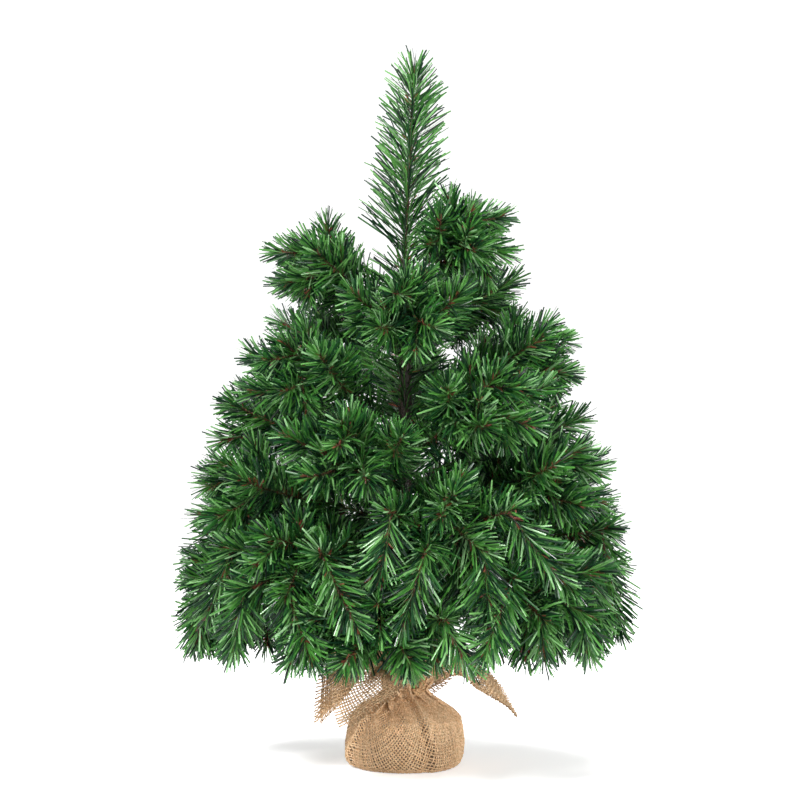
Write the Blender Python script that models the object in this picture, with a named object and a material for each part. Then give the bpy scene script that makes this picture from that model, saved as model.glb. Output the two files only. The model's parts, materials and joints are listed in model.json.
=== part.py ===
"""Artificial tabletop tree: a weighted base in a tied burlap bag, a taped trunk, and wire branch sprays.

Metres, +Z up, front towards -Y. The origin is the centre of the bag's underside, on the trunk's axis.
Every branch spray is a forked stem of twisted wire that bends where it leaves the tape round the trunk.
"""

import math

import bmesh
import bpy
from mathutils import Matrix, Vector

# Every touching pair keeps this gap. Turned pieces have this many sides.
GAP = 0.0003
ROUND = 24
ROD_SIDES = 12

# The whole tree: the sprays' tips lie on a cone with a slight belly, and the leader rises above it.
TREE_HEIGHT = 0.592
CONE_FOOT_Z = 0.101
CONE_FOOT_RADIUS = 0.179
LEADER_RISE = 0.118
CONE_TOP_Z = TREE_HEIGHT - LEADER_RISE
CONE_TOP_RADIUS = 0.060
CONE_BULGE = 0.030
SPRAY_COUNT = 25
FIRST_AZIMUTH = math.radians(-97.0)
AZIMUTH_STEP = math.radians(137.5)
LOWEST_RISE = math.radians(2.0)
HIGHEST_RISE = math.radians(42.0)

# Sprays: one main wire, and four twigs forked from it, a low pair and a wide pair.
STEM_RADIUS = 0.0013
TWIG_RADIUS = 0.0011
LOW_FORKS = (0.60, 0.72)
LOW_SPREAD = 0.026
TWIG_DROP = 0.046
WIDE_FORKS = (0.38, 0.49)
WIDE_SPREAD = 0.052
WIDE_DROP = 0.012
TIP_UPTURN = 0.008
STEM_STEPS = 4

# Needles: the soft brush that the strips make round each wire.
NEEDLE_START = 0.024
NEEDLE_ROOT_RADIUS = 0.0040
NEEDLE_RADIUS = 0.0085
NEEDLE_TIP_RADIUS = 0.0050
NEEDLE_OVERHANG = 0.008
NEEDLE_CLEARANCE = 0.0005

# Leader: the single brush at the top.
LEADER_STEM_RADIUS = 0.0014
LEADER_LEAN = 0.008
LEADER_NEEDLE_RADIUS = 0.024
LEADER_NEEDLE_START = 0.014

# Trunk: a steel rod, and the tape that binds the branch wires to it.
ROD_RADIUS = 0.0025
ROD_FOOT_Z = 0.008
TAPE_FOOT_RADIUS = ROD_RADIUS + 0.0050
TAPE_TOP_RADIUS = ROD_RADIUS + 0.0020
TRUNK_MARGIN = 0.016

# Base: cement cast round the rod in a thin plastic cup.
CUP_RADIUS = 0.0440
CUP_WALL = 0.0012
CUP_HEIGHT = 0.036
CUP_TAPER = 0.0020
CEMENT_TOP_DROP = 0.003

# Burlap: a square of cloth drawn up round the cup and tied at the neck.
CLOTH = 0.0015
SHOULDER_Z = CLOTH + CUP_WALL + CUP_HEIGHT + 2.0 * GAP
NECK_Z = SHOULDER_Z + 0.0247
NECK_BORE = TAPE_FOOT_RADIUS + 0.0020
NECK_RADIUS = NECK_BORE + 0.0060
NECK_FLARE = 0.0030
SKIRT_Z = NECK_Z + 0.010
SKIRT_RADIUS = NECK_RADIUS + 0.0105
CORNERS = [  # heading in degrees, reach from the axis, drop of the corner's point below the tie
    (-6.0, 0.100, 0.013),
    (80.0, 0.086, 0.009),
    (-158.0, 0.078, 0.018),
    (-122.0, 0.056, 0.008),
]
CORNER_HALF_ANGLE = math.radians(45.0)

# Twine: two turns round the neck, and the knot in front.
TWINE_RADIUS = 0.0009
TWINE_TURNS = 2
KNOT_RADIUS = 0.0032


def material(name, colour, roughness, metallic=0.0):
    """A plain Principled BSDF finish."""
    made = bpy.data.materials.new(name)
    made.use_nodes = True
    shader = made.node_tree.nodes["Principled BSDF"]
    shader.inputs["Base Color"].default_value = (*colour, 1.0)
    shader.inputs["Roughness"].default_value = roughness
    shader.inputs["Metallic"].default_value = metallic
    return made


def add(name, mesh, finish):
    """An object of its own for a finished mesh."""
    mesh.name = name
    mesh.materials.clear()
    mesh.materials.append(finish)
    mesh.shade_smooth()
    mesh.set_sharp_from_angle(angle=math.radians(40.0))
    made = bpy.data.objects.new(name, mesh)
    bpy.context.scene.collection.objects.link(made)
    return made


def mesh_from(bm):
    """A mesh with its faces turned outwards."""
    bmesh.ops.recalc_face_normals(bm, faces=bm.faces)
    made = bpy.data.meshes.new("solid")
    bm.to_mesh(made)
    bm.free()
    return made


def turned(profile, steps=ROUND):
    """A closed outline of (radius, height) points, spun once round the Z axis."""
    bm = bmesh.new()
    corners = [bm.verts.new((radius, 0.0, height)) for radius, height in profile]
    edges = [bm.edges.new((a, b)) for a, b in zip(corners, corners[1:] + corners[:1])]
    bmesh.ops.spin(
        bm,
        geom=corners + edges,
        cent=(0.0, 0.0, 0.0),
        axis=(0.0, 0.0, 1.0),
        angle=math.tau,
        steps=steps,
        use_merge=True,
    )
    bmesh.ops.remove_doubles(bm, verts=bm.verts, dist=0.00001)
    return mesh_from(bm)


def swept(points, radii, resolution=1, cyclic=False):
    """A round bar along a list of points, with a radius for each point."""
    curve = bpy.data.curves.new("sweep", "CURVE")
    curve.dimensions = "3D"
    curve.bevel_depth = 1.0
    curve.bevel_resolution = resolution
    curve.use_fill_caps = True
    spline = curve.splines.new("POLY")
    spline.points.add(len(points) - 1)
    for place, point, radius in zip(spline.points, points, radii):
        place.co = (*point, 1.0)
        place.radius = radius
    spline.use_cyclic_u = cyclic
    bar = bpy.data.objects.new("sweep", curve)
    bpy.context.scene.collection.objects.link(bar)
    made = evaluated(bar)
    bpy.data.objects.remove(bar)
    return made


def square_bore(route, radius):
    """The square way that a wire of a radius runs through with clearance."""
    half_diagonal = (radius + NEEDLE_CLEARANCE) * math.sqrt(2.0)
    return swept(route, [half_diagonal] * len(route), resolution=0)


def evaluated(solid):
    """The mesh that an object's curve or modifiers give."""
    graph = bpy.context.evaluated_depsgraph_get()
    graph.update()
    made = bpy.data.meshes.new_from_object(solid.evaluated_get(graph))
    bm = bmesh.new()
    bm.from_mesh(made)
    bmesh.ops.remove_doubles(bm, verts=bm.verts, dist=0.000002)
    bmesh.ops.recalc_face_normals(bm, faces=bm.faces)
    bm.to_mesh(made)
    bm.free()
    return made


def combined(first, others, operation):
    """One mesh joined with, or cut by, several others."""
    solid = bpy.data.objects.new("solid", first)
    bpy.context.scene.collection.objects.link(solid)
    tools = []
    for other in others:
        tool = bpy.data.objects.new("tool", other)
        bpy.context.scene.collection.objects.link(tool)
        step = solid.modifiers.new("step", "BOOLEAN")
        step.operation = operation
        step.object = tool
        tools.append(tool)
    made = evaluated(solid)
    for used in [solid, *tools]:
        bpy.data.objects.remove(used)
    return made


def cone_radius(height):
    """How far from the axis the tips reach at a height: a cone with a slight belly."""
    share = (height - CONE_FOOT_Z) / (CONE_TOP_Z - CONE_FOOT_Z)
    straight = CONE_FOOT_RADIUS + (CONE_TOP_RADIUS - CONE_FOOT_RADIUS) * share
    return straight + CONE_BULGE * 4.0 * share * (1.0 - share)


def tip_height(share):
    """The height of a main tip that leaves a share of the cone's surface below it."""
    steps = 200
    foot = CONE_FOOT_Z + TWIG_DROP
    heights = [foot + (CONE_TOP_Z - foot) * step / steps for step in range(steps + 1)]
    rings = [cone_radius(height) for height in heights]
    wanted = sum(rings) * share
    below = 0.0
    for height, ring in zip(heights, rings):
        below += ring
        if below >= wanted:
            return height
    return heights[-1]


def tape_radius(height):
    """The tape is thickest at the foot, where it binds the most wires."""
    share = (height - SHOULDER_Z) / (CONE_TOP_Z - SHOULDER_Z)
    return TAPE_FOOT_RADIUS + (TAPE_TOP_RADIUS - TAPE_FOOT_RADIUS) * share


def spray_place(number):
    """A spray's heading, its bend point on the trunk, and its main tip, as (radius, height)."""
    share = (number + 0.5) / SPRAY_COUNT
    height = tip_height(share)
    reach = cone_radius(height)
    rise = LOWEST_RISE + (HIGHEST_RISE - LOWEST_RISE) * share
    foot = height - (reach - TAPE_FOOT_RADIUS) * math.tan(rise)
    bend_radius = tape_radius(foot) + STEM_RADIUS + GAP
    heading = FIRST_AZIMUTH + AZIMUTH_STEP * number
    return heading, (bend_radius, foot), (reach, height)


def arc(start, end, lift, steps):
    """Points from start to end along a wire that sags first and turns up at its tip."""
    points = []
    for step in range(steps + 1):
        share = step / steps
        point = start.lerp(end, share)
        point.z += lift * (share**3 - share)
        points.append(point)
    return points


def twig_table():
    """Each twig's fork along the main wire, and its tip's place beside and below the main tip."""
    low = [(share, side * LOW_SPREAD, TWIG_DROP) for side, share in zip((-1.0, 1.0), LOW_FORKS)]
    wide = [(share, side * WIDE_SPREAD, WIDE_DROP) for side, share in zip((1.0, -1.0), WIDE_FORKS)]
    return low + wide


def spray_wires(number):
    """The routes of a spray's main wire and its twigs."""
    heading, bend, tip = spray_place(number)
    size = 0.55 + 0.45 * tip[0] / CONE_FOOT_RADIUS
    start = Vector((bend[0], 0.0, bend[1]))
    end = Vector((tip[0], 0.0, tip[1]))
    main = arc(start, end, TIP_UPTURN * size, STEM_STEPS)
    routes = [main]
    for share, spread, drop in twig_table():
        fork = start.lerp(end, share)
        fork.z += TIP_UPTURN * size * (share**3 - share)
        low = tip[1] - drop * size
        reach = cone_radius(low)
        spread *= size
        twig_end = Vector((math.sqrt(max(reach**2 - spread**2, 0.0)), spread, low))
        routes.append(arc(fork, twig_end, TIP_UPTURN * size, STEM_STEPS - 2))
    turn = Matrix.Rotation(heading, 4, "Z")
    return [[turn @ point for point in route] for route in routes]


def along(route, distance):
    """The rest of a route, from a distance along it."""
    left = distance
    for index, (a, b) in enumerate(zip(route, route[1:])):
        length = (b - a).length
        if left < length:
            return [a.lerp(b, left / length)] + route[index + 1 :]
        left -= length
    return route[-2:]


def brush(route, skip, widest):
    """The spindle that needles fill round one wire, reaching a little past its end."""
    rest = along(route, skip)
    rest.append(rest[-1] + (rest[-1] - rest[-2]).normalized() * NEEDLE_OVERHANG)
    last = len(rest) - 1
    radii = []
    for index in range(last + 1):
        share = index / last
        radii.append(NEEDLE_ROOT_RADIUS + (widest - NEEDLE_ROOT_RADIUS) * math.sin(share * 2.2))
    radii[-1] = NEEDLE_TIP_RADIUS
    return swept(rest, radii)


def make_sprays(wire, needles):
    """Each spray is a forked wire, and the needles round it, with their origin at the bend."""
    for number in range(SPRAY_COUNT):
        main, *twigs = spray_wires(number)
        bars = [swept(main, [STEM_RADIUS] * len(main))]
        bores = [square_bore(main, STEM_RADIUS)]
        brushes = [brush(main, NEEDLE_START, NEEDLE_RADIUS)]
        for twig in twigs:
            bars.append(swept(twig, [TWIG_RADIUS] * len(twig)))
            bores.append(square_bore(twig, TWIG_RADIUS))
            brushes.append(brush(twig, 0.0, NEEDLE_RADIUS))
        stem = combined(bars[0], bars[1:], "UNION")
        bore = combined(bores[0], bores[1:], "UNION")
        body = combined(brushes[0], brushes[1:], "UNION")
        brushed = combined(body, [bore], "DIFFERENCE")
        place(f"branch_{number + 1:02d}_stem", stem, wire, main[0])
        place(f"branch_{number + 1:02d}_needles", brushed, needles, main[0])


def place(name, mesh, finish, pivot):
    """An object with its origin on the joint that it bends about."""
    mesh.transform(Matrix.Translation(-pivot))
    made = add(name, mesh, finish)
    made.location = pivot
    return made


def leader_foot():
    """Where the leader's wire leaves the top of the tape."""
    return Vector((0.0, 0.0, trunk_top() + LEADER_STEM_RADIUS + GAP))


def trunk_top():
    """The trunk ends a little above the highest bend."""
    highest = max(spray_place(number)[1][1] for number in range(SPRAY_COUNT))
    return highest + TRUNK_MARGIN


def make_leader(wire, needles):
    """The leader leans a little to one side, as the wire was left."""
    foot = leader_foot()
    end = Vector((LEADER_LEAN, 0.0, TREE_HEIGHT - NEEDLE_OVERHANG))
    route = arc(foot, end, 0.0, STEM_STEPS)
    count = len(route)
    stem = swept(route, [LEADER_STEM_RADIUS] * count)
    bore = square_bore(route, LEADER_STEM_RADIUS)
    body = brush(route, LEADER_NEEDLE_START, LEADER_NEEDLE_RADIUS)
    place("leader_stem", stem, wire, foot)
    place("leader_needles", combined(body, [bore], "DIFFERENCE"), needles, foot)


def make_trunk(steel, tape):
    """A straight rod cast into the base, with tape wound over the rod and the branch wires."""
    top = trunk_top()
    rod = [(0.0, ROD_FOOT_Z), (ROD_RADIUS, ROD_FOOT_Z), (ROD_RADIUS, top), (0.0, top)]
    add("trunk_rod", turned(rod, ROD_SIDES), steel)
    foot = CLOTH + GAP + CUP_WALL + CUP_HEIGHT - CEMENT_TOP_DROP + GAP
    bore = ROD_RADIUS + GAP
    sleeve = [
        (bore, foot),
        (tape_radius(foot) - 0.0010, foot),
        (tape_radius(foot + TRUNK_MARGIN), foot + TRUNK_MARGIN),
        (tape_radius(top - TRUNK_MARGIN), top - TRUNK_MARGIN),
        (tape_radius(top) - 0.0008, top),
        (bore, top),
    ]
    add("trunk_tape", turned(sleeve, ROD_SIDES), tape)


def make_base(plastic, cement):
    """A thin moulded cup, filled with cement up to just under its rim."""
    floor = CLOTH + GAP
    inside = floor + CUP_WALL
    rim = inside + CUP_HEIGHT
    cup = [
        (0.0, floor),
        (CUP_RADIUS - CUP_TAPER, floor),
        (CUP_RADIUS, rim),
        (CUP_RADIUS - CUP_WALL, rim),
        (CUP_RADIUS - CUP_TAPER - CUP_WALL, inside),
        (0.0, inside),
    ]
    add("base_cup", turned(cup), plastic)
    low = inside + GAP
    high = rim - CEMENT_TOP_DROP
    slope = CUP_TAPER / (rim - floor)
    edge_low = CUP_RADIUS - CUP_TAPER + slope * (low - floor) - CUP_WALL - 2.0 * GAP
    edge_high = CUP_RADIUS - CUP_TAPER + slope * (high - floor) - CUP_WALL - 2.0 * GAP
    bore = ROD_RADIUS + GAP
    block = [
        (0.0, low),
        (edge_low, low),
        (edge_high, high),
        (bore, high),
        (bore, ROD_FOOT_Z - GAP),
        (0.0, ROD_FOOT_Z - GAP),
    ]
    add("base_weight", turned(block), cement)


def skirt_reach(heading):
    """How far the cloth above the tie reaches, and how high its edge lies, at a heading."""
    best = (SKIRT_RADIUS, SKIRT_Z)
    for degrees, reach, drop in CORNERS:
        off = abs((heading - math.radians(degrees) + math.pi) % math.tau - math.pi)
        share = max(0.0, 1.0 - off / CORNER_HALF_ANGLE) ** 1.5
        if share > 0.0 and SKIRT_RADIUS + (reach - SKIRT_RADIUS) * share > best[0]:
            best = (
                SKIRT_RADIUS + (reach - SKIRT_RADIUS) * share,
                SKIRT_Z + (NECK_Z - drop - SKIRT_Z) * share,
            )
    return best


def cloth_profile(heading):
    """The cloth's outside, then its inside, from the centre of the underside to the edge and back."""
    reach, low = skirt_reach(heading)
    bag = CUP_RADIUS + GAP + CLOTH
    tie = TWINE_TURNS * TWINE_RADIUS + GAP
    mid = SKIRT_RADIUS + (reach - SKIRT_RADIUS) * 0.5
    mid_z = SKIRT_Z + (low - SKIRT_Z) * 0.35
    outside = [
        (bag - 0.005, 0.0),
        (bag - 0.0005, 0.004),
        (bag + 0.003, 0.5 * SHOULDER_Z),
        (bag, SHOULDER_Z + 0.0015),
        (0.7 * bag, SHOULDER_Z + 0.009),
        (NECK_RADIUS + NECK_FLARE, NECK_Z - 0.006),
        (NECK_RADIUS, NECK_Z - tie),
        (NECK_RADIUS, NECK_Z + tie),
        (NECK_RADIUS + NECK_FLARE, NECK_Z + 0.006),
        (SKIRT_RADIUS, SKIRT_Z - CLOTH),
        (mid, mid_z - CLOTH),
        (reach, low),
    ]
    inside = [
        (mid, mid_z),
        (SKIRT_RADIUS - 0.001, SKIRT_Z + 0.0005),
        (NECK_BORE, NECK_Z + 0.008),
        (NECK_BORE, NECK_Z - 0.008),
        (0.68 * bag, SHOULDER_Z + 0.006),
        (CUP_RADIUS + GAP, SHOULDER_Z),
        (CUP_RADIUS + GAP, CLOTH),
    ]
    return outside, inside


def make_bag(burlap):
    """One skin of cloth: flat under the cup, up its side, gathered at the neck and flared above."""
    bm = bmesh.new()
    rings = []
    steps = 2 * ROUND
    for step in range(steps):
        heading = math.tau * step / steps
        outside, inside = cloth_profile(heading)
        cos, sin = math.cos(heading), math.sin(heading)
        rings.append([bm.verts.new((r * cos, r * sin, z)) for r, z in outside + inside])
    for a, b in zip(rings, rings[1:] + rings[:1]):
        for row in range(len(a) - 1):
            bm.faces.new((a[row], b[row], b[row + 1], a[row + 1]))
    bm.faces.new([ring[0] for ring in reversed(rings)])
    bm.faces.new([ring[-1] for ring in rings])
    bmesh.ops.triangulate(bm, faces=[face for face in bm.faces if len(face.verts) > 4])
    add("burlap_wrap", mesh_from(bm), burlap)


def make_twine(jute):
    """Turns of twine drawn tight round the neck, with the knot lying in front of them."""
    inner = (NECK_RADIUS + GAP) / math.cos(math.pi / ROUND)
    outer = inner + 2.0 * TWINE_RADIUS
    half = TWINE_TURNS * TWINE_RADIUS
    ring = [
        (inner, NECK_Z - half),
        (outer, NECK_Z - half),
        (outer, NECK_Z + half),
        (inner, NECK_Z + half),
    ]
    add("neck_twine", turned(ring), jute)
    bm = bmesh.new()
    bmesh.ops.create_icosphere(bm, subdivisions=1, radius=KNOT_RADIUS)
    away = outer + GAP + KNOT_RADIUS
    heading = math.radians(-62.0)
    spot = Vector((away * math.cos(heading), away * math.sin(heading), NECK_Z))
    bmesh.ops.translate(bm, verts=bm.verts, vec=spot)
    add("twine_knot", mesh_from(bm), jute)


def main():
    for left_over in list(bpy.data.objects):
        bpy.data.objects.remove(left_over)
    plastic = material("cup_plastic", (0.16, 0.09, 0.05), 0.5)
    cement = material("cement", (0.5, 0.49, 0.46), 0.9)
    steel = material("rod_steel", (0.4, 0.4, 0.42), 0.4, 1.0)
    tape = material("tape", (0.12, 0.05, 0.03), 0.6)
    make_base(plastic, cement)
    make_bag(material("burlap", (0.46, 0.30, 0.15), 0.95))
    make_twine(material("jute", (0.42, 0.27, 0.13), 0.9))
    make_trunk(steel, tape)
    wire = material("stem_wire", (0.14, 0.06, 0.04), 0.5)
    needles = material("needles", (0.03, 0.12, 0.05), 0.5)
    make_sprays(wire, needles)
    make_leader(wire, needles)


main()
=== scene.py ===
import json
import math
import random

import bmesh
import bpy
import numpy as np
from mathutils import Matrix, Vector


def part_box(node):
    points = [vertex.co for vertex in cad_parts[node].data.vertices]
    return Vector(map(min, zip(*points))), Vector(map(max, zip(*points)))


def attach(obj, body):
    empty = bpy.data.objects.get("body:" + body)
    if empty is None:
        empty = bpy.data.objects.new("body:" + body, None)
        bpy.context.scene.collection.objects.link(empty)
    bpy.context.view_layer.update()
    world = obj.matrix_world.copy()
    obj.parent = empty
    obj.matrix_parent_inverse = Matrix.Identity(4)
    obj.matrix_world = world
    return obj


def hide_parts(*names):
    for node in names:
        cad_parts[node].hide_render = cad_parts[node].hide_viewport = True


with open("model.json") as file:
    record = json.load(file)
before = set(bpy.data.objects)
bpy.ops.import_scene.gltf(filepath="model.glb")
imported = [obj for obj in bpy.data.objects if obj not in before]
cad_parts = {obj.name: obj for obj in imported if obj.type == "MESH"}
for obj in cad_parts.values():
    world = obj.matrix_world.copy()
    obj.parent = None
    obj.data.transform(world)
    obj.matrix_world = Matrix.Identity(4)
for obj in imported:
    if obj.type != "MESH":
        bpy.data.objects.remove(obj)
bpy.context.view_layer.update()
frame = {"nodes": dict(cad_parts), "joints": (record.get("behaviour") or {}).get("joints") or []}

# The studio: one wide sheet of white paper that lies flat under the tree and rolls up into a wall behind.
# Three soft lamps light it, and the camera stands level with the middle of the tree, on a long lens.
PAPER_REACH = 6.0
PAPER_BEND_AT = 3.0
PAPER_BEND_RADIUS = 3.0
PAPER_BEND_STEPS = 12
PAPER_GLOW = 0.5
ROOM_LIGHT = 0.5
LAMPS_AIM = Vector((0.0, 0.0, 0.28))
CAMERA_SIDE = -0.0042
CAMERA_BACK = 1.8
CAMERA_HEIGHT = 0.306
LENS = 96.7

bm = bmesh.new()
front = [bm.verts.new((-PAPER_REACH, -PAPER_REACH, 0.0)), bm.verts.new((PAPER_REACH, -PAPER_REACH, 0.0))]
run = [bm.edges.new(front)]
for step in range(PAPER_BEND_STEPS + 1):
    turn = math.pi / 2.0 * step / PAPER_BEND_STEPS
    moved = bmesh.ops.extrude_edge_only(bm, edges=run)["geom"]
    verts = [item for item in moved if isinstance(item, bmesh.types.BMVert)]
    run = [item for item in moved if isinstance(item, bmesh.types.BMEdge)]
    for vert in verts:
        vert.co.y = PAPER_BEND_AT + PAPER_BEND_RADIUS * math.sin(turn)
        vert.co.z = PAPER_BEND_RADIUS * (1.0 - math.cos(turn))
bmesh.ops.recalc_face_normals(bm, faces=bm.faces)
paper_mesh = bpy.data.meshes.new("studio_paper")
bm.to_mesh(paper_mesh)
bm.free()
paper_mesh.shade_smooth()
paper = bpy.data.objects.new("studio_paper", paper_mesh)
bpy.context.scene.collection.objects.link(paper)
paper_white = bpy.data.materials.new("studio_paper_white")
paper_white.use_nodes = True
paper_tree = paper_white.node_tree
paper_shader = paper_tree.nodes["Principled BSDF"]
paper_shader.inputs["Base Color"].default_value = (0.95, 0.95, 0.95, 1.0)
paper_shader.inputs["Roughness"].default_value = 0.9
paper_shader.inputs["Emission Color"].default_value = (1.0, 1.0, 1.0, 1.0)
seen = paper_tree.nodes.new("ShaderNodeLightPath")
glow = paper_tree.nodes.new("ShaderNodeMath")
glow.operation = "MULTIPLY"
glow.inputs[1].default_value = PAPER_GLOW
paper_tree.links.new(seen.outputs["Is Camera Ray"], glow.inputs[0])
paper_tree.links.new(glow.outputs["Value"], paper_shader.inputs["Emission Strength"])
paper_mesh.materials.append(paper_white)

world = bpy.data.worlds.new("soft_room")
world.use_nodes = True
world.node_tree.nodes["Background"].inputs["Color"].default_value = (1.0, 1.0, 1.0, 1.0)
world.node_tree.nodes["Background"].inputs["Strength"].default_value = ROOM_LIGHT
bpy.context.scene.world = world
bpy.context.scene.view_settings.view_transform = "Standard"

for name, spot, size, power in (
    ("key_lamp", (-1.0, -1.7, 1.6), 0.45, 62.0),
    ("fill_lamp", (1.3, -1.9, 0.45), 0.9, 34.0),
    ("top_lamp", (0.2, 0.5, 2.0), 0.8, 34.0),
):
    lamp = bpy.data.lights.new(name, "AREA")
    lamp.size = size
    lamp.energy = power
    holder = bpy.data.objects.new(name, lamp)
    holder.location = spot
    holder.rotation_euler = (LAMPS_AIM - Vector(spot)).to_track_quat("-Z", "Y").to_euler()
    bpy.context.scene.collection.objects.link(holder)

camera_data = bpy.data.cameras.new("camera")
camera_data.lens = LENS
camera = bpy.data.objects.new("camera", camera_data)
camera.location = (CAMERA_SIDE, -CAMERA_BACK, CAMERA_HEIGHT)
camera.rotation_euler = (math.pi / 2.0, 0.0, 0.0)
bpy.context.scene.collection.objects.link(camera)
bpy.context.scene.camera = camera


# The foot: grey cement cast round the rod in a thin brown cup. The bag hides both, and their CAD shapes
# are right, so they only take their finishes.
def noise_colour(material, low, high, scale, roughness, bump, detail=6.0):
    """A Principled finish whose colour drifts between two tones, with a fine grain to match."""
    material.use_nodes = True
    tree = material.node_tree
    shader = tree.nodes["Principled BSDF"]
    place = tree.nodes.new("ShaderNodeTexCoord")
    noise = tree.nodes.new("ShaderNodeTexNoise")
    noise.inputs["Scale"].default_value = scale
    noise.inputs["Detail"].default_value = detail
    tree.links.new(place.outputs["Object"], noise.inputs["Vector"])
    ramp = tree.nodes.new("ShaderNodeValToRGB")
    ramp.color_ramp.elements[0].position = 0.3
    ramp.color_ramp.elements[0].color = (*low, 1.0)
    ramp.color_ramp.elements[1].position = 0.7
    ramp.color_ramp.elements[1].color = (*high, 1.0)
    tree.links.new(noise.outputs["Fac"], ramp.inputs["Fac"])
    tree.links.new(ramp.outputs["Color"], shader.inputs["Base Color"])
    relief = tree.nodes.new("ShaderNodeBump")
    relief.inputs["Strength"].default_value = 0.6
    relief.inputs["Distance"].default_value = bump
    tree.links.new(noise.outputs["Fac"], relief.inputs["Height"])
    tree.links.new(relief.outputs["Normal"], shader.inputs["Normal"])
    shader.inputs["Roughness"].default_value = roughness
    return material


cement = noise_colour(
    bpy.data.materials.new("cast_cement"), (0.24, 0.23, 0.21), (0.46, 0.45, 0.42), 90.0, 0.92, 0.0006
)
cup_brown = noise_colour(
    bpy.data.materials.new("moulded_cup"), (0.11, 0.06, 0.032), (0.19, 0.11, 0.062), 220.0, 0.5, 0.0001
)


def finish_node(node, material):
    """Gives a CAD node that stays in view its real finish."""
    mesh = frame["nodes"][node].data
    mesh.materials.clear()
    mesh.materials.append(material)


finish_node("base_weight", cement)
finish_node("base_cup", cup_brown)


# The bag: one square of loose jute cloth, spun thread woven one over one. It is laid under the foot,
# drawn up round it and tied, its edges pulled out into a fringe, and its corners fall above the tie.
CLOTH_SIDE = 0.332
THREAD_PITCH = 0.0026
THREAD_RADIUS = 0.00071
THREAD_LIFT = 0.00042
THREAD_WANDER = 0.00016
THREAD_BOW = 0.0004
FRINGE_THREADS = 3
CLOTH_FOOT = 0.0011
CLOTH_UNDER_TIE = 0.0035
CLOTH_OFF_CUP = 0.0022

neck_low, neck_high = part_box("neck_twine")
neck_z = 0.5 * (neck_low[2] + neck_high[2])
neck_radius = neck_high[0] - CLOTH_UNDER_TIE
bag_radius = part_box("base_cup")[1][0] + CLOTH_OFF_CUP
rim_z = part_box("base_cup")[1][2]

# The side of the bag, from the middle of its underside to the tie, as (radius, height).
bag_side = [
    (0.0, CLOTH_FOOT),
    (bag_radius - 0.0040, CLOTH_FOOT),
    (bag_radius - 0.0006, 0.0036),
    (bag_radius + 0.0016, 0.0095),
    (bag_radius + 0.0026, 0.0200),
    (bag_radius + 0.0014, 0.0310),
    (bag_radius - 0.0008, rim_z + 0.0016),
    (bag_radius * 0.860, rim_z + 0.0070),
    (bag_radius * 0.690, neck_z - 0.0130),
    (bag_radius * 0.530, neck_z - 0.0084),
    (neck_radius + 0.0038, neck_z - 0.0044),
    (neck_radius, neck_z),
]
side_radius = np.array([point[0] for point in bag_side])
side_height = np.array([point[1] for point in bag_side])
side_run = np.concatenate([[0.0], np.cumsum(np.hypot(np.diff(side_radius), np.diff(side_height)))])
NECK_RUN = side_run[-1]

# Where each corner of the cloth heads above the tie, how steeply it leaves, and how steeply it falls.
CORNER_HEADINGS = np.radians([-6.0, 80.0, 210.0, 240.0])
CORNER_START = np.radians([46.0, 50.0, 70.0, 46.0])
CORNER_END = np.radians([-52.0, -48.0, -58.0, -46.0])
SIDE_START = math.radians(78.0)
SIDE_END = math.radians(58.0)
FIRST_CORNER = math.radians(-5.0)
QUARTER = math.pi / 2.0
CORNER_STEPS = 24
CORNER_TURN_RUN = 0.075
DRIFT_START = 0.085
DRIFT_RUN = 0.05
WIDTH_USED = 0.92
LEAST_SPREAD = 0.35

# The gathers: how deep they are, where up the cloth they start and ease off, and how they go above the tie.
GATHER_DEPTH = 0.0022
GATHER_START = 0.070
GATHER_RUN = 0.050
GATHER_EASE_START = 0.165
GATHER_EASE_RUN = 0.05
GATHER_EASE = 0.55
SLACK_START = 0.045
SLACK_RUN = 0.03
FALLING_RUN = 0.030
FALLING_LIFT = 1.6
CREASE_STEP = 0.10

# The deep folds: where each starts and ends up the cloth, its headings there, its height and its width.
FOLDS = (
    (0.050, 0.112, math.radians(-60.0), math.radians(-76.0), 0.0046, 0.34),
    (0.052, 0.100, math.radians(-160.0), math.radians(-126.0), -0.0042, 0.30),
    (0.084, 0.124, math.radians(-68.0), math.radians(-100.0), 0.0034, 0.24),
    (0.090, 0.126, math.radians(-120.0), math.radians(-98.0), -0.0030, 0.20),
    (0.060, 0.116, math.radians(40.0), math.radians(62.0), 0.0036, 0.30),
    (0.060, 0.116, math.radians(140.0), math.radians(118.0), -0.0036, 0.30),
)


def eased(value):
    """A smooth step from 0 to 1."""
    value = np.clip(value, 0.0, 1.0)
    return value * value * (3.0 - 2.0 * value)


def round_corners(values, turn):
    """A value at every heading, eased between the four corners' values."""
    values = np.asarray(values)
    low = np.floor(turn / QUARTER).astype(int)
    share = eased(turn / QUARTER - low)
    return values[low % 4] * (1.0 - share) + values[(low + 1) % 4] * share


def creased(run, heading, start, end, first, last, height, width):
    """How far a fold stands over its crease, which runs from one heading to another up the bag."""
    share = (run - start) / (end - start)
    middle = first + (last - first) * np.clip(share, 0.0, 1.0)
    side = 1.0 if height > 0.0 else -1.0
    off = ((heading - middle + math.pi) % math.tau - math.pi) * side
    fade = eased((share + 0.25) * 4.0) * eased((1.25 - share) * 4.0)
    step = eased(1.0 + off / CREASE_STEP)
    return abs(height) * np.where(off > 0.0, np.exp(-np.maximum(off, 0.0) / width), step) * fade


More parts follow.
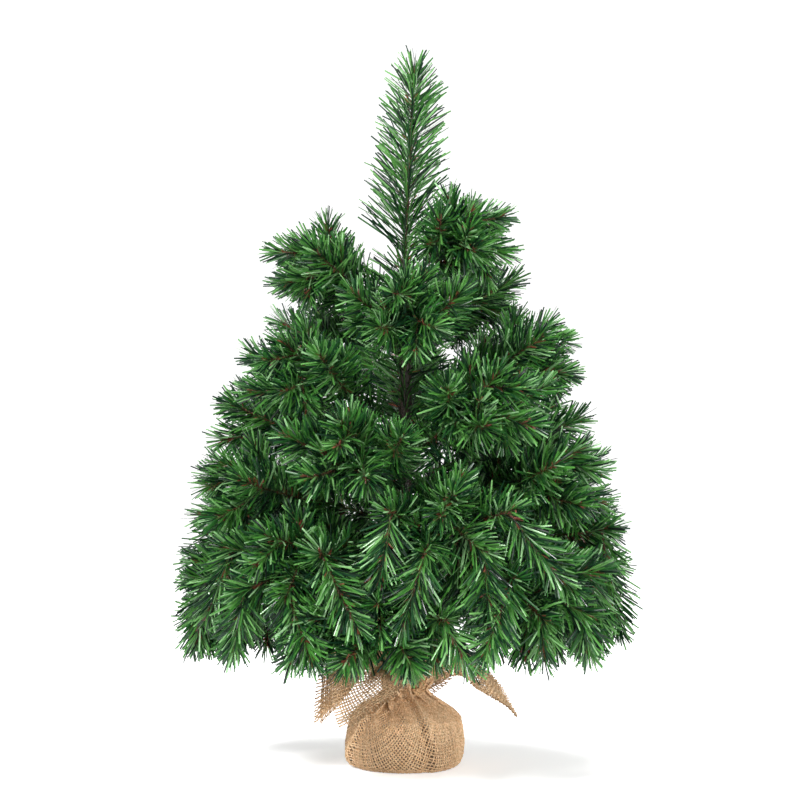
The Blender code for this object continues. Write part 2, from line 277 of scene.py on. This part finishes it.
def cloth_place(u, v):
    """Where a point of the flat cloth lies once it is drawn up, for arrays of u and v."""
    run = np.hypot(u, v)
    turn = (np.arctan2(v, u) - QUARTER / 2.0) % math.tau
    corner = np.round(turn / QUARTER)
    off = turn - corner * QUARTER
    half = CLOTH_SIDE / 2.0
    past_edge = np.arccos(np.minimum(half / np.maximum(run, 1e-6), 1.0))
    limit = np.where(run > half, QUARTER / 2.0 - past_edge, QUARTER / 2.0)
    limit = np.maximum(limit, 0.02)

    # The side of the bag up to the tie, and then a curve that leaves it steeply and falls towards a corner.
    above = np.maximum(run - NECK_RUN, 0.0)
    cornered = np.cos(2.0 * off) ** 2
    start = SIDE_START + (round_corners(CORNER_START, turn) - SIDE_START) * cornered
    end = SIDE_END + (round_corners(CORNER_END, turn) - SIDE_END) * cornered
    radius = np.interp(run, side_run, side_radius)
    height = np.interp(run, side_run, side_height)
    for step in range(CORNER_STEPS):
        part = above * (step + 0.5) / CORNER_STEPS
        slope = start + (end - start) * eased(part / CORNER_TURN_RUN)
        radius = radius + np.cos(slope) * above / CORNER_STEPS
        height = height + np.sin(slope) * above / CORNER_STEPS

    # Past the neck the cloth opens out sideways as far as its width allows, and drifts to its corners.
    across = WIDTH_USED * run * np.sin(limit) / np.maximum(radius, 1e-6)
    most = np.arcsin(np.clip(across, 0.0, 1.0)) / limit
    wide = np.clip(np.minimum((QUARTER / 2.0) / limit, most), LEAST_SPREAD, None)
    spread = np.where(run > half, off * wide, off)
    drift = round_corners(CORNER_HEADINGS - (FIRST_CORNER + QUARTER * np.arange(4)), turn)
    heading = FIRST_CORNER + corner * QUARTER + spread + drift * eased((run - DRIFT_START) / DRIFT_RUN)

    # Gathers: none on the wall of the bag, deep at the neck, and easing again towards the corners.
    easing = 1.0 - GATHER_EASE * eased((run - GATHER_EASE_START) / GATHER_EASE_RUN)
    gather = eased((run - GATHER_START) / GATHER_RUN) * easing
    pleat = 19.0 * turn + 2.1 + 0.6 * np.sin(3.0 * turn)
    ripple = np.sin(11.0 * turn + 0.7) + 0.8 * np.sin(pleat) + 0.6 * np.sin(31.0 * turn + 4.0)
    slack = 0.0011 * np.sin(3.0 * turn + 1.0) + 0.0008 * np.sin(5.0 * turn + run * 60.0)
    depth = gather * GATHER_DEPTH * ripple + slack * eased((run - SLACK_START) / SLACK_RUN)
    for fold in FOLDS:
        depth = depth + creased(run, heading, *fold)
    heading = heading + gather * GATHER_DEPTH * np.cos(pleat) / np.maximum(radius, 0.008)

    # Below the tie the gathers push outwards, and above it they lift and drop the falling cloth.
    falling = eased(above / FALLING_RUN)
    radius = radius + depth * (1.0 - falling)
    height = height + depth * FALLING_LIFT * falling
    height = np.maximum(height, CLOTH_FOOT)
    return np.stack([radius * np.cos(heading), radius * np.sin(heading), height], axis=-1)


def woven_lines():
    """Every thread of the cloth, passing over and under the threads that cross it."""
    half_count = int(CLOTH_SIDE / 2.0 / THREAD_PITCH)
    index = np.arange(-half_count, half_count + 1)
    u, v = np.meshgrid(index * THREAD_PITCH, index * THREAD_PITCH, indexing="ij")
    chance = np.random.default_rng(4)
    u = u + chance.normal(0.0, THREAD_WANDER, u.shape[0])[:, None] + THREAD_BOW * np.sin(v * 55.0 + 1.0)
    v = v + chance.normal(0.0, THREAD_WANDER, v.shape[1])[None, :] + THREAD_BOW * np.sin(u * 47.0)
    nudge = 0.0004
    spot = cloth_place(u, v)
    along_u = cloth_place(u + nudge, v) - cloth_place(u - nudge, v)
    along_v = cloth_place(u, v + nudge) - cloth_place(u, v - nudge)
    normal = np.cross(along_u, along_v)
    normal /= np.maximum(np.linalg.norm(normal, axis=-1, keepdims=True), 1e-9)
    over = np.where((index[:, None] + index[None, :]) % 2 == 0, 1.0, -1.0)[..., None] * THREAD_LIFT
    lines = []
    inner = half_count - FRINGE_THREADS
    for number in index:
        if abs(number) > inner:
            continue
        row = number + half_count
        for points in (spot[row] + over[row] * normal[row], spot[:, row] - over[:, row] * normal[:, row]):
            thick = chance.uniform(0.86, 1.12)
            swell = thick * (1.0 + 0.10 * np.sin(np.arange(len(points)) * chance.uniform(0.2, 0.6)))
            lines.append([(*point, size) for point, size in zip(points, swell)])
    return lines


def thread_section(radius):
    """The three-sided outline that a thread is swept with."""
    outline = bpy.data.curves.new("thread_section", "CURVE")
    spline = outline.splines.new("POLY")
    spline.points.add(2)
    for corner, point in enumerate(spline.points):
        turn = math.tau * corner / 3.0
        point.co = (radius * math.cos(turn), radius * math.sin(turn), 0.0, 1.0)
    spline.use_cyclic_u = True
    return bpy.data.objects.new("thread_section", outline)


def bars_along(lines, name, section=None, radius=0.0):
    """Bars along several lines as one mesh. A fourth number at a point is its thickness there."""
    curve = bpy.data.curves.new(name, "CURVE")
    curve.dimensions = "3D"
    curve.use_fill_caps = True
    curve.bevel_resolution = 0
    if section:
        bpy.context.scene.collection.objects.link(section)
        curve.bevel_mode = "OBJECT"
        curve.bevel_object = section
    else:
        curve.bevel_depth = radius
    for line in lines:
        spline = curve.splines.new("POLY")
        spline.points.add(len(line) - 1)
        for place, point in zip(spline.points, line):
            place.co = (*point[:3], 1.0)
            place.radius = point[3] if len(point) > 3 else 1.0
    bar = bpy.data.objects.new(name, curve)
    bpy.context.scene.collection.objects.link(bar)
    graph = bpy.context.evaluated_depsgraph_get()
    mesh = bpy.data.meshes.new_from_object(bar.evaluated_get(graph))
    bpy.data.objects.remove(bar)
    if section:
        bpy.data.objects.remove(section)
    bm = bmesh.new()
    bm.from_mesh(mesh)
    bmesh.ops.remove_doubles(bm, verts=bm.verts, dist=1e-6)
    bm.to_mesh(mesh)
    bm.free()
    mesh.name = name
    return mesh


def dress(mesh, name, body, material):
    """Makes a finished mesh a piece that rides on a body."""
    mesh.name = name
    mesh.materials.clear()
    mesh.materials.append(material)
    piece = bpy.data.objects.new(name, mesh)
    bpy.context.scene.collection.objects.link(piece)
    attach(piece, body)
    return piece


def jute(name, low, high):
    """Dry spun jute: matt fibres of several browns with a fine grain, in lighter and darker runs."""
    material = noise_colour(bpy.data.materials.new(name), low, high, 1000.0, 0.95, 0.0003, 8.0)
    tree = material.node_tree
    shader = tree.nodes["Principled BSDF"]
    shader.inputs["Specular IOR Level"].default_value = 0.2
    place = tree.nodes.new("ShaderNodeTexCoord")
    runs = tree.nodes.new("ShaderNodeTexNoise")
    runs.inputs["Scale"].default_value = 330.0
    runs.inputs["Detail"].default_value = 3.0
    tree.links.new(place.outputs["Object"], runs.inputs["Vector"])
    spread = tree.nodes.new("ShaderNodeMapRange")
    spread.inputs["From Min"].default_value = 0.3
    spread.inputs["From Max"].default_value = 0.7
    spread.inputs["To Min"].default_value = 0.80
    spread.inputs["To Max"].default_value = 1.15
    tree.links.new(runs.outputs["Fac"], spread.inputs["Value"])
    shade = tree.nodes.new("ShaderNodeMix")
    shade.data_type = "RGBA"
    shade.blend_type = "MULTIPLY"
    shade.inputs["Factor"].default_value = 1.0
    source = shader.inputs["Base Color"].links[0].from_socket
    tree.links.new(source, shade.inputs["A"])
    tree.links.new(spread.outputs["Result"], shade.inputs["B"])
    tree.links.new(shade.outputs["Result"], shader.inputs["Base Color"])
    return material


burlap_jute = jute("burlap_jute", (0.50, 0.245, 0.095), (1.00, 0.78, 0.52))
threads = bars_along(woven_lines(), "burlap_cloth", thread_section(THREAD_RADIUS))
cloth = dress(threads, "burlap_cloth", "trunk", burlap_jute)
cloth.data.shade_smooth()
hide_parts("burlap_wrap")


# The tie: two-strand jute twine wound round the gathered neck and knotted in front, with one small loop
# and one short tail left over. It stands for the CAD turns and the CAD knot together.
TWINE_TURNS = 2.6
TWINE_PITCH = 0.0021
TWINE_INSET = 0.0007
TWINE_WAVER = 0.0005
TWINE_STEPS = 48
TWINE_STRAND = 0.00062
TWINE_OFFSET = 0.00048
TWINE_TWIST = 0.0042
KNOT_HEADING = math.radians(-62.0)
KNOT_SIZE = 0.95
KNOT_STAND = 0.0026

# The loop and the tail: millimetres sideways, up and outwards from the middle of the knot.
LOOP_SPOTS = (
    (0, 0, 0),
    (2.5, 3, 1),
    (4, 7, 1.5),
    (6.5, 8.5, 1.5),
    (7, 5.5, 2),
    (4.5, 2.5, 1.5),
    (1, 0, 0.5),
)
TAIL_SPOTS = ((0, 0, 0), (-2, -2.5, 1.2), (-4.5, -3.5, 1.6), (-7.5, -6, 1.4), (-9.5, -9.5, 1.8))


def walk(line, gap):
    """Points a gap apart along a line, each with the line's direction there."""
    lengths = [0.0]
    for a, b in zip(line, line[1:]):
        lengths.append(lengths[-1] + (b - a).length)
    count = max(2, round(lengths[-1] / gap))
    places = []
    index = 0
    for step in range(count + 1):
        at = lengths[-1] * step / count
        while index < len(line) - 2 and lengths[index + 1] < at:
            index += 1
        span = max(lengths[index + 1] - lengths[index], 1e-9)
        point = line[index].lerp(line[index + 1], (at - lengths[index]) / span)
        places.append((point, (line[index + 1] - line[index]).normalized(), at))
    return places, lengths[-1]


def square_pair(direction):
    """Two directions square to a wire and to each other."""
    first = direction.cross(Vector((0.0, 0.0, 1.0)))
    if first.length < 0.2:
        first = direction.cross(Vector((0.0, 1.0, 0.0)))
    first.normalize()
    return first, direction.cross(first).normalized()


def twisted(lines, name, strand_radius, offset, pitch, steps=6):
    """Two strands twisted round each other along every line."""
    strands = []
    for line in lines:
        places, _ = walk(line, pitch / steps)
        for side in (0.0, math.pi):
            strand = []
            for point, direction, at in places:
                first, second = square_pair(direction)
                turn = math.tau * at / pitch + side
                strand.append(point + offset * (math.cos(turn) * first + math.sin(turn) * second))
            strands.append(strand)
    return bars_along(strands, name, radius=strand_radius)


def smooth_line(points, steps=8):
    """A smooth line through a few points."""
    points = [Vector(point) for point in points]
    ends = [2.0 * points[0] - points[1], *points, 2.0 * points[-1] - points[-2]]
    line = []
    for a, b, c, d in zip(ends, ends[1:], ends[2:], ends[3:]):
        for step in range(steps):
            t = step / steps
            square = (2 * a - 5 * b + 4 * c - d) * t**2
            cube = (3 * b - a - 3 * c + d) * t**3
            line.append(0.5 * (2 * b + (c - a) * t + square + cube))
    return line + [points[-1]]


twine_radius = neck_high[0] - TWINE_INSET
wound = []
for step in range(int(TWINE_STEPS * TWINE_TURNS) + 1):
    turn = step / TWINE_STEPS
    heading = KNOT_HEADING + math.tau * turn
    rise = TWINE_PITCH * (turn - TWINE_TURNS / 2.0) + TWINE_WAVER * math.sin(2.0 * heading)
    wound.append(Vector((twine_radius * math.cos(heading), twine_radius * math.sin(heading), neck_z + rise)))
out_way = Vector((math.cos(KNOT_HEADING), math.sin(KNOT_HEADING), 0.0))
side_way = Vector((-math.sin(KNOT_HEADING), math.cos(KNOT_HEADING), 0.0))
knot_centre = out_way * (twine_radius + KNOT_STAND) + Vector((0.0, 0.0, neck_z))


def by_knot(side, rise, out):
    """A point near the knot, in millimetres sideways, up and outwards from its middle."""
    return knot_centre + 0.001 * (side_way * side + Vector((0.0, 0.0, rise)) + out_way * out)


knot = []
for step in range(TWINE_STEPS + 1):
    turn = math.tau * step / TWINE_STEPS
    knot.append(
        by_knot(
            KNOT_SIZE * (math.sin(turn) + 2.0 * math.sin(2.0 * turn)),
            KNOT_SIZE * (math.cos(turn) - 2.0 * math.cos(2.0 * turn)),
            -KNOT_SIZE * math.sin(3.0 * turn),
        )
    )
loop = smooth_line([by_knot(*spot) for spot in LOOP_SPOTS])
tail = smooth_line([by_knot(*spot) for spot in TAIL_SPOTS])
twine_jute = jute("twine_jute", (0.34, 0.19, 0.085), (0.78, 0.53, 0.30))
strands = twisted([wound, knot, loop, tail], "twine_tie", TWINE_STRAND, TWINE_OFFSET, TWINE_TWIST)
twine = dress(strands, "twine_tie", "trunk", twine_jute)
twine.data.shade_smooth()
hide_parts("neck_twine", "twine_knot")


# The trunk: a bright steel rod, with brown plastic tape wound over it and over the legs of the wires.
rod_steel = noise_colour(
    bpy.data.materials.new("drawn_steel"), (0.30, 0.30, 0.31), (0.45, 0.45, 0.46), 300.0, 0.35, 0.00005
)
rod_steel.node_tree.nodes["Principled BSDF"].inputs["Metallic"].default_value = 1.0
finish_node("trunk_rod", rod_steel)
tape_brown = noise_colour(
    bpy.data.materials.new("wound_tape"), (0.012, 0.008, 0.005), (0.040, 0.020, 0.012), 260.0, 0.55, 0.0004
)
finish_node("trunk_tape", tape_brown)


# The branch wires: two soft brown strands twisted together, forked into five tips, with short side shoots,
# and bound to the trunk by one leg. Every spray has its own heading and bends where it leaves the tape.
CONE_FOOT_Z = 0.101
CONE_FOOT_RADIUS = 0.179
CONE_TOP_Z = 0.474
CONE_TOP_RADIUS = 0.060
CONE_BULGE = 0.030
TOP_SPRAY_SIZE = 0.55
TWIG_DROP = 0.046
TWIGS = (  # where each twig forks off, and its tip's place beside and below the main tip
    (0.60, -0.026, TWIG_DROP),
    (0.72, 0.026, TWIG_DROP),
    (0.38, 0.052, 0.012),
    (0.49, -0.052, 0.012),
)
TIP_UPTURN = 0.008
SHOOT_LENGTH = 0.034
SHOOT_LENGTHS = (0.85, 1.1)
SHOOT_FORWARD = 0.72
SHOOT_AWAY = 0.70
SHOOT_UPTURN = 0.002
SHOOT_STEPS = 6
SHOOT_SHARES = (0.30, 0.44, 0.58, 0.72, 0.86)  # along the main wire
TWIG_SHOOT_SHARES = (0.45,)
TWIG_SHOOT_SIZE = 0.8
LOWEST_SPRAYS = 9
HANGING_SHARES = (0.35, 0.62, 0.90)
HANGING_FOOT = 0.100
HANGING_LENGTH = 0.064
SHORTEST_HANGING = 0.012
HANGING_LEANS = (-0.1, 0.7)
HANGING_OUT = 0.10
HANGING_DROP = 0.86
HANGING_UPTURN = 0.003
STRAND_RADIUS = 0.00075
STRAND_OFFSET = 0.00062
TWIST_PITCH = 0.0062

wire_brown = noise_colour(
    bpy.data.materials.new("lacquered_wire"),
    (0.035, 0.014, 0.008),
    (0.15, 0.055, 0.032),
    500.0,
    0.38,
    0.0001,
)


def cone_radius(height):
    """How far the wires reach from the trunk's axis at a height."""
    share = (height - CONE_FOOT_Z) / (CONE_TOP_Z - CONE_FOOT_Z)
    straight = CONE_FOOT_RADIUS + (CONE_TOP_RADIUS - CONE_FOOT_RADIUS) * share
    return straight + CONE_BULGE * 4.0 * share * (1.0 - share)


def tip_height(share):
    """The height of a main tip that has a share of the sprays below it."""
    foot = CONE_FOOT_Z + TWIG_DROP
    heights = [foot + (CONE_TOP_Z - foot) * step / 200 for step in range(201)]
    wanted = sum(cone_radius(height) for height in heights) * share
    below = 0.0
    for height in heights:
        below += cone_radius(height)
        if below >= wanted:
            return height
    return heights[-1]


def bent(start, end, lift, steps=24):
    """A wire's line from start to end, which sags first and turns up at its tip."""
    line = []
    for step in range(steps + 1):
        share = step / steps
        point = start.lerp(end, share)
        point.z += lift * (share**3 - share)
        line.append(point)
    return line


def spray_lines(joint, share):
    """The lines of a spray's main wire and its twigs, outwards from its joint on the trunk."""
    foot = Vector(joint["pos_m"])
    outwards = Vector((-joint["axis"][1], joint["axis"][0], 0.0))
    sideways = Vector((-outwards.y, outwards.x, 0.0))
    height = tip_height(share)
    reach = cone_radius(height)
    size = TOP_SPRAY_SIZE + (1.0 - TOP_SPRAY_SIZE) * reach / CONE_FOOT_RADIUS
    tip = outwards * reach + Vector((0.0, 0.0, height))
    lines = [bent(foot, tip, TIP_UPTURN * size)]
    for fork_share, spread, drop in TWIGS:
        fork = foot.lerp(tip, fork_share)
        fork.z += TIP_UPTURN * size * (fork_share**3 - fork_share)
        low = height - drop * size
        out = math.sqrt(max(cone_radius(low) ** 2 - (spread * size) ** 2, 0.0))
        end = outwards * out + sideways * spread * size + Vector((0.0, 0.0, low))
        lines.append(bent(fork, end, TIP_UPTURN * size, 14))
    return lines


def shoot_lines(lines, chance):
    """Short side shoots twisted into a spray's wires, up and down by turns, that fill out its foliage."""
    shoots = []
    for index, line in enumerate(lines):
        shares = SHOOT_SHARES if index == 0 else TWIG_SHOOT_SHARES
        length = SHOOT_LENGTH if index == 0 else TWIG_SHOOT_SIZE * SHOOT_LENGTH
        for step, share in enumerate(shares):
            at = round(share * (len(line) - 1))
            direction = (line[at + 1] - line[at]).normalized()
            first, second = square_pair(direction)
            turn = math.pi * (step + index) + chance.uniform(-0.8, 0.8)
            away = math.cos(turn) * second + math.sin(turn) * first
            way = SHOOT_FORWARD * direction + SHOOT_AWAY * away
            tip = line[at] + length * chance.uniform(*SHOOT_LENGTHS) * way
            shoots.append(bent(line[at], tip, SHOOT_UPTURN, SHOOT_STEPS))
    return shoots


def hanging_lines(lines, outwards, chance):
    """Shoots that hang from the twigs of the lowest sprays and close the foliage in underneath."""
    shoots = []
    for line, (_, spread, _) in zip(lines[1:], TWIGS):
        for share in HANGING_SHARES:
            at = round(share * (len(line) - 1))
            length = min(line[at].z - HANGING_FOOT, HANGING_LENGTH)
            if length > SHORTEST_HANGING:
                lean = math.copysign(chance.uniform(*HANGING_LEANS), spread)
                sideways = lean * Vector((-outwards.y, outwards.x, 0.0))
                way = HANGING_OUT * outwards + sideways - Vector((0.0, 0.0, HANGING_DROP))
                shoots.append(bent(line[at], line[at] + length * way, HANGING_UPTURN, SHOOT_STEPS))
    return shoots


branch_joints = [joint for joint in frame["joints"] if joint["name"].startswith("branch")]
branch_joints.sort(key=lambda joint: joint["name"])
spray_wires = {}
spray_shoots = {}
for number, joint in enumerate(branch_joints):
    body = joint["child"]
    spray_wires[body] = spray_lines(joint, (number + 0.5) / len(branch_joints))
    spray_shoots[body] = shoot_lines(spray_wires[body], random.Random(300 + number))
    if number < LOWEST_SPRAYS:
        outwards = Vector((-joint["axis"][1], joint["axis"][0], 0.0))
        spray_shoots[body] += hanging_lines(spray_wires[body], outwards, random.Random(500 + number))
    lines = spray_wires[body] + spray_shoots[body]
    twist = twisted(lines, f"{body}_wire", STRAND_RADIUS, STRAND_OFFSET, TWIST_PITCH)
    wires = dress(twist, f"{body}_wire", body, wire_brown)
    wires.data.shade_smooth()
    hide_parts(f"{body}_stem")


# The needles: flat strips cut from green film, gripped between the strands so that they stand out all
# round and lean towards the tip. A few short brown strips are twisted in with them.
NEEDLE_WIDTH = 0.0016
NEEDLE_THICKNESS = 0.00042
NEEDLE_LENGTH = 0.031
SHOOT_NEEDLE_LENGTH = 0.9 * NEEDLE_LENGTH
NEEDLES_PER_METRE = 3150
NEEDLE_LENGTHS = (0.84, 1.08)
NEEDLE_WIDTHS = (0.8, 1.12)
NEEDLE_ROOT = 0.0006
NEEDLE_FOOT_SIZE = 0.7
NEEDLE_END_SIZE = 0.78
LEAN_SCATTER = math.radians(8.0)
ROLL_SCATTER = math.radians(40.0)
BEND_SCATTER = 0.0018
MAIN_BARE = 0.018
TWIG_BARE = 0.004
SHOOT_BARE = 0.005
TIP_TAPER = 0.034
BROWN_SHARE = 0.07
TIP_BROWN_SHARE = 0.22
BROWN_LENGTH = 0.30
BROWN_WIDTH = 0.8
TURN_PER_NEEDLE = math.radians(137.5)


def needle_template():
    """One strip of unit size along +Z, with a keel down each face and a blunt end."""
    bm = bmesh.new()
    ring = bmesh.ops.create_circle(bm, cap_ends=True, segments=4, radius=0.5)["verts"]
    bottom = next(iter(bm.faces))
    bmesh.ops.scale(bm, vec=(NEEDLE_FOOT_SIZE, NEEDLE_FOOT_SIZE, 1.0), verts=ring)
    current = bottom
    for height, size in ((0.5, 1.0 / NEEDLE_FOOT_SIZE), (1.0, NEEDLE_END_SIZE)):
        moved = bmesh.ops.extrude_face_region(bm, geom=[current])["geom"]
        verts = [item for item in moved if isinstance(item, bmesh.types.BMVert)]
        bmesh.ops.delete(bm, geom=[current], context="FACES_ONLY")
        current = next(item for item in moved if isinstance(item, bmesh.types.BMFace))
        for vert in verts:
            vert.co.z = height
        bmesh.ops.scale(bm, vec=(size, size, 1.0), verts=verts)
    bmesh.ops.recalc_face_normals(bm, faces=bm.faces)
    mesh = bpy.data.meshes.new("needle")
    bm.to_mesh(mesh)
    bm.free()
    mesh.attributes.new("tone", "FLOAT", "POINT")
    return mesh


template = needle_template()
template_points = np.empty(len(template.vertices) * 3, dtype=np.float32)
template.vertices.foreach_get("co", template_points)
template_points = template_points.reshape(-1, 3)


def stamp(bm, foot, direction, across, length, width, bend, tone):
    """Adds one strip to a brush, bent a little along its own face."""
    side = direction.cross(across)
    axes = np.array([across[:], side[:], direction[:]], dtype=np.float32)
    thickness = NEEDLE_THICKNESS * (width / NEEDLE_WIDTH)
    local = template_points * np.array([width, thickness, length], dtype=np.float32)
    local[:, 1] += bend * template_points[:, 2] ** 2
    placed = local @ axes + np.array(foot[:], dtype=np.float32)
    template.vertices.foreach_set("co", placed.ravel())
    template.attributes["tone"].data.foreach_set("value", np.full(len(placed), tone, dtype=np.float32))
    bm.from_mesh(template)


def brush_line(bm, line, chance, bare, per_metre, length, lean, tip_lean, narrowing=0.0, tip_narrowing=0.4):
    """Needles along one wire, closing up into a tuft at its end, and shorter towards it if asked."""
    places, total = walk(line, 1.0 / per_metre)
    turn = chance.uniform(0.0, math.tau)
    for point, direction, at in places:
        if at < bare:
            continue
        turn += TURN_PER_NEEDLE
        first, second = square_pair(direction)
        left = total - at
        tip_share = max(0.0, 1.0 - left / TIP_TAPER)
        out = math.cos(turn) * first + math.sin(turn) * second
        angle = lean + (tip_lean - lean) * tip_share**1.5 + chance.gauss(0.0, LEAN_SCATTER)
        needle = (direction * math.cos(angle) + out * math.sin(angle)).normalized()
        across = (direction - needle * direction.dot(needle)).normalized()
        roll = Matrix.Rotation(chance.gauss(0.0, ROLL_SCATTER), 3, needle)
        reach = length * (1.0 - narrowing * at / total) * (1.0 - tip_narrowing * tip_share)
        reach *= chance.uniform(*NEEDLE_LENGTHS)
        width = NEEDLE_WIDTH * chance.uniform(*NEEDLE_WIDTHS)
        tone = chance.random()
        if chance.random() < BROWN_SHARE + TIP_BROWN_SHARE * tip_share**3:
            tone = 2.0 + chance.random()
            reach *= BROWN_LENGTH
            width *= BROWN_WIDTH
        root = point + out * NEEDLE_ROOT
        stamp(bm, root, needle, roll @ across, reach, width, chance.gauss(0.0, BEND_SCATTER), tone)


def needle_green():
    """Green film in several shades, one to a strip: bluish, mid and yellowish, and brown for a few."""
    material = bpy.data.materials.new("needle_film")
    material.use_nodes = True
    tree = material.node_tree
    shader = tree.nodes["Principled BSDF"]
    tone = tree.nodes.new("ShaderNodeAttribute")
    tone.attribute_name = "tone"
    ramp = tree.nodes.new("ShaderNodeValToRGB")
    ramp.color_ramp.interpolation = "LINEAR"
    stops = (
        (0.00, (0.002, 0.012, 0.006)),
        (0.25, (0.007, 0.045, 0.017)),
        (0.45, (0.025, 0.130, 0.024)),
        (0.70, (0.075, 0.270, 0.040)),
        (0.88, (0.165, 0.410, 0.110)),
        (1.00, (0.350, 0.620, 0.310)),
    )
    for element in list(ramp.color_ramp.elements)[1:]:
        ramp.color_ramp.elements.remove(element)
    ramp.color_ramp.elements[0].position = stops[0][0]
    ramp.color_ramp.elements[0].color = (*stops[0][1], 1.0)
    for position, colour in stops[1:]:
        ramp.color_ramp.elements.new(position).color = (*colour, 1.0)
    tree.links.new(tone.outputs["Fac"], ramp.inputs["Fac"])
    brown = tree.nodes.new("ShaderNodeMath")
    brown.operation = "GREATER_THAN"
    brown.inputs[1].default_value = 1.5
    tree.links.new(tone.outputs["Fac"], brown.inputs[0])
    mixed = tree.nodes.new("ShaderNodeMix")
    mixed.data_type = "RGBA"
    mixed.inputs["B"].default_value = (0.24, 0.070, 0.040, 1.0)
    tree.links.new(brown.outputs["Value"], mixed.inputs["Factor"])
    tree.links.new(ramp.outputs["Color"], mixed.inputs["A"])
    place = tree.nodes.new("ShaderNodeTexCoord")
    streak = tree.nodes.new("ShaderNodeTexNoise")
    streak.inputs["Scale"].default_value = 420.0
    streak.inputs["Detail"].default_value = 3.0
    tree.links.new(place.outputs["Object"], streak.inputs["Vector"])
    shade = tree.nodes.new("ShaderNodeMix")
    shade.data_type = "RGBA"
    shade.blend_type = "MULTIPLY"
    shade.inputs["Factor"].default_value = 0.5
    tree.links.new(mixed.outputs["Result"], shade.inputs["A"])
    tree.links.new(streak.outputs["Fac"], shade.inputs["B"])
    tree.links.new(shade.outputs["Result"], shader.inputs["Base Color"])
    shader.inputs["Roughness"].default_value = 0.28
    return material


needle_film = needle_green()
wire_leans = (math.radians(50.0), math.radians(20.0))
shoot_leans = (math.radians(48.0), math.radians(22.0))
for number, joint in enumerate(branch_joints):
    body = joint["child"]
    chance = random.Random(100 + number)
    bm = bmesh.new()
    for index, line in enumerate(spray_wires[body]):
        bare = MAIN_BARE if index == 0 else TWIG_BARE
        brush_line(bm, line, chance, bare, NEEDLES_PER_METRE, NEEDLE_LENGTH, *wire_leans)
    for line in spray_shoots[body]:
        brush_line(bm, line, chance, SHOOT_BARE, NEEDLES_PER_METRE, SHOOT_NEEDLE_LENGTH, *shoot_leans)
    mesh = bpy.data.meshes.new(f"{body}_strips")
    bm.to_mesh(mesh)
    bm.free()
    strips = dress(mesh, f"{body}_strips", body, needle_film)
    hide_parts(f"{body}_needles")


# The legs of the sprays' wires, bound down the trunk, carry strips of their own, so the trunk is hidden
# in a thin brush of the same film that fills the middle of the tree.
TRUNK_STRIPS_FOOT = 0.082
TRUNK_STRIPS_PER_METRE = 4000
TRUNK_STRIP_LENGTH = 0.046
trunk_leans = (math.radians(68.0), math.radians(40.0))

trunk_top = Vector((0.0, 0.0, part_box("trunk_tape")[1][2]))
trunk_line = bent(Vector((0.0, 0.0, TRUNK_STRIPS_FOOT)), trunk_top, 0.0)
bm = bmesh.new()
brush_line(
    bm, trunk_line, random.Random(55), 0.0, TRUNK_STRIPS_PER_METRE, TRUNK_STRIP_LENGTH, *trunk_leans
)
mesh = bpy.data.meshes.new("trunk_strips")
bm.to_mesh(mesh)
bm.free()
dress(mesh, "trunk_strips", "trunk", needle_film)


# The leader: one stouter brush of longer strips on the same twisted wire, bound to the top of the trunk.
# It leans a little to the right, and its strips shorten towards the tip.
LEADER_STRIPS_PER_METRE = 3500
LEADER_STRIP_LENGTH = 0.048
LEADER_BARE = 0.002
LEADER_NARROWING = 0.42
LEADER_TIP_NARROWING = 0.25
LEADER_TIP_INSET = 0.0014
leader_leans = (math.radians(52.0), math.radians(30.0))

leader_joint = next(joint for joint in frame["joints"] if joint["child"] == "leader")
leader_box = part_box("leader_stem")
leader_foot = Vector(leader_joint["pos_m"])
leader_tip = Vector((leader_box[1][0] - LEADER_TIP_INSET, 0.0, leader_box[1][2]))
leader_line = bent(leader_foot, leader_tip, 0.0)
twist = twisted([leader_line], "leader_wire", STRAND_RADIUS, STRAND_OFFSET, TWIST_PITCH)
wires = dress(twist, "leader_wire", "leader", wire_brown)
wires.data.shade_smooth()
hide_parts("leader_stem")
chance = random.Random(7)
bm = bmesh.new()
brush_line(
    bm,
    leader_line,
    chance,
    LEADER_BARE,
    LEADER_STRIPS_PER_METRE,
    LEADER_STRIP_LENGTH,
    *leader_leans,
    LEADER_NARROWING,
    LEADER_TIP_NARROWING,
)
mesh = bpy.data.meshes.new("leader_strips")
bm.to_mesh(mesh)
bm.free()
strips = dress(mesh, "leader_strips", "leader", needle_film)
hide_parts("leader_needles")
